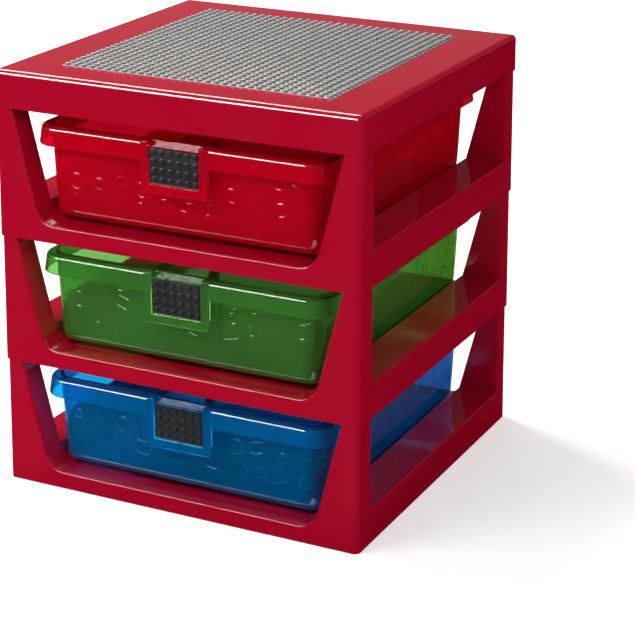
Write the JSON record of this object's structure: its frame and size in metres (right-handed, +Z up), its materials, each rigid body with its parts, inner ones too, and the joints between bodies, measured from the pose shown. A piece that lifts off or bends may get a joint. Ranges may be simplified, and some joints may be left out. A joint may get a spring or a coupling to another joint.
{
  "type": "stacking drawer organizer",
  "caption": "Brick shaped storage tower with translucent pull-out drawers in open stacked tiers and a studded building plate set in its top.",
  "frame": {"origin": "middle of the footprint at the foot of the lowest skirt, on the surface that the tower stands on", "axes": "+Z up, -Y out of the drawer fronts, +X to the right seen from the front"},
  "size_m": [0.346, 0.333, 0.3781],
  "materials": {
    "red_plastic": "gloss",
    "grey_plastic": "satin",
    "dark_grey_plastic": "satin",
    "clear_red_plastic": "translucent gloss",
    "clear_green_plastic": "translucent gloss",
    "clear_blue_plastic": "translucent gloss"
  },
  "bodies": {
    "rack": {"top_cover": "red_plastic", "stud_plate": "grey_plastic", "lower_tier": "red_plastic", "middle_tier": "red_plastic", "upper_tier": "red_plastic"},
    "lower_sliding_drawer": {"lower_drawer": "clear_blue_plastic", "lower_pad": "dark_grey_plastic"},
    "middle_sliding_drawer": {"middle_drawer": "clear_green_plastic", "middle_pad": "dark_grey_plastic"},
    "upper_sliding_drawer": {"upper_drawer": "clear_red_plastic", "upper_pad": "dark_grey_plastic"}
  },
  "joints": [
    {"name": "lower_drawer_slide", "type": "slide", "parent": "rack", "child": "lower_sliding_drawer", "axis": [0, -1, 0], "range_m": [0, 0.25]},
    {"name": "middle_drawer_slide", "type": "slide", "parent": "rack", "child": "middle_sliding_drawer", "axis": [0, -1, 0], "range_m": [0, 0.25]},
    {"name": "upper_drawer_slide", "type": "slide", "parent": "rack", "child": "upper_sliding_drawer", "axis": [0, -1, 0], "range_m": [0, 0.25]}
  ]
}
